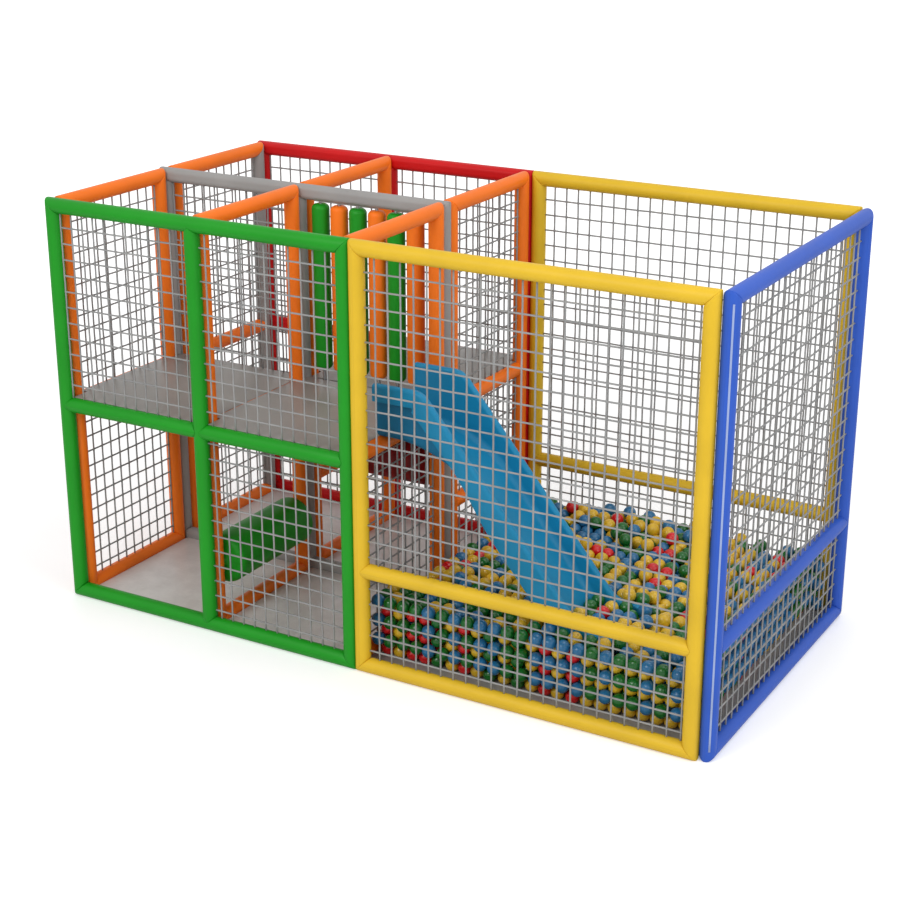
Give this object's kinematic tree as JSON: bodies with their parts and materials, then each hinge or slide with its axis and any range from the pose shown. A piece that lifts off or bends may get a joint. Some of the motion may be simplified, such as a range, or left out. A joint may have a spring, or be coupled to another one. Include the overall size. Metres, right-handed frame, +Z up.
{
  "type": "ball pit with slide",
  "caption": "Padded-tube play tower with decks, netted sides and spinning foam rollers, and a slide that runs down into a netted ball pit.",
  "frame": {"origin": "middle of the floor area that the structure covers, on the floor", "axes": "+X from the tower to the pit, +Z up, -Y is the front with the entrance"},
  "size_m": [4.222, 2.164, 2.487],
  "materials": {
    "green_vinyl": "glossy vinyl sleeve over foam",
    "orange_vinyl": "glossy vinyl sleeve over foam",
    "grey_vinyl": "glossy vinyl sleeve over foam",
    "red_vinyl": "glossy vinyl sleeve over foam",
    "yellow_vinyl": "glossy vinyl sleeve over foam",
    "blue_vinyl": "glossy vinyl sleeve over foam",
    "net_cord": "knotted grey cord",
    "deck_vinyl": "semi-gloss padded vinyl",
    "mat_vinyl": "semi-gloss padded vinyl",
    "pit_mat_vinyl": "semi-gloss padded vinyl",
    "steel": "satin",
    "slide_plastic": "moulded, glossy",
    "ball_plastic": "blown plastic balls in blue, green, yellow and red"
  },
  "bodies": {
    "structure": {"front_frame": "green_vinyl", "back_frame": "red_vinyl", "middle_frame": "grey_vinyl", "pit_front_frame": "yellow_vinyl", "pit_back_frame": "yellow_vinyl", "pit_end_frame": "blue_vinyl", "left_front_frame": "orange_vinyl", "left_back_frame": "orange_vinyl", "centre_front_frame": "orange_vinyl", "centre_back_frame": "orange_vinyl", "right_front_frame": "orange_vinyl", "right_back_frame": "orange_vinyl", "left_back_post": "grey_vinyl", "front_left_upper_net": "net_cord", "front_right_upper_net": "net_cord", "front_right_lower_net": "net_cord", "middle_left_upper_net": "net_cord", "left_front_upper_net": "net_cord", "left_front_lower_net": "net_cord", "left_back_upper_net": "net_cord", "left_back_lower_net": "net_cord", "right_front_lower_net": "net_cord", "right_back_upper_net": "net_cord", "right_back_middle_net": "net_cord", "right_back_lower_net": "net_cord", "back_left_upper_net": "net_cord", "back_right_upper_net": "net_cord", "back_left_lower_net": "net_cord", "back_right_lower_net": "net_cord", "pit_front_upper_net": "net_cord", "pit_front_lower_net": "net_cord", "pit_back_upper_net": "net_cord", "pit_back_lower_net": "net_cord", "pit_end_upper_net": "net_cord", "pit_end_lower_net": "net_cord", "left_front_deck": "deck_vinyl", "right_front_deck": "deck_vinyl", "right_back_deck": "deck_vinyl", "left_front_mat": "mat_vinyl", "left_back_mat": "mat_vinyl", "right_front_mat": "mat_vinyl", "right_back_mat": "mat_vinyl", "pit_mat": "pit_mat_vinyl", "roller_rod_1": "steel", "roller_rod_2": "steel", "roller_rod_3": "steel", "roller_rod_4": "steel", "roller_rod_5": "steel", "roller_rod_6": "steel", "slide": "slide_plastic", "ball_fill": "ball_plastic"},
    "upright_roller_1_body": {"upright_roller_1": "green_vinyl"},
    "upright_roller_2_body": {"upright_roller_2": "orange_vinyl"},
    "upright_roller_3_body": {"upright_roller_3": "green_vinyl"},
    "upright_roller_4_body": {"upright_roller_4": "orange_vinyl"},
    "upright_roller_5_body": {"upright_roller_5": "green_vinyl"},
    "upright_roller_6_body": {"upright_roller_6": "orange_vinyl"},
    "green_roller_body": {"green_roller": "green_vinyl"},
    "red_roller_body": {"red_roller": "red_vinyl"}
  },
  "joints": [
    {"name": "upright_roller_1_spin", "type": "hinge", "parent": "structure", "child": "upright_roller_1_body", "pos_m": [-0.92, 0, 1.872], "axis": [0, 0, 1], "continuous": true},
    {"name": "upright_roller_2_spin", "type": "hinge", "parent": "structure", "child": "upright_roller_2_body", "pos_m": [-0.789, 0, 1.872], "axis": [0, 0, 1], "continuous": true},
    {"name": "upright_roller_3_spin", "type": "hinge", "parent": "structure", "child": "upright_roller_3_body", "pos_m": [-0.658, 0, 1.872], "axis": [0, 0, 1], "continuous": true},
    {"name": "upright_roller_4_spin", "type": "hinge", "parent": "structure", "child": "upright_roller_4_body", "pos_m": [-0.527, 0, 1.872], "axis": [0, 0, 1], "continuous": true},
    {"name": "upright_roller_5_spin", "type": "hinge", "parent": "structure", "child": "upright_roller_5_body", "pos_m": [-0.396, 0, 1.872], "axis": [0, 0, 1], "continuous": true},
    {"name": "upright_roller_6_spin", "type": "hinge", "parent": "structure", "child": "upright_roller_6_body", "pos_m": [-0.265, 0, 1.872], "axis": [0, 0, 1], "continuous": true},
    {"name": "green_roller_spin", "type": "hinge", "parent": "structure", "child": "green_roller_body", "pos_m": [-1.073, -0.5185, 0.392], "axis": [0, 1, 0], "continuous": true},
    {"name": "red_roller_spin", "type": "hinge", "parent": "structure", "child": "red_roller_body", "pos_m": [-0.5765, 0, 0.899], "axis": [1, 0, 0], "continuous": true}
  ]
}
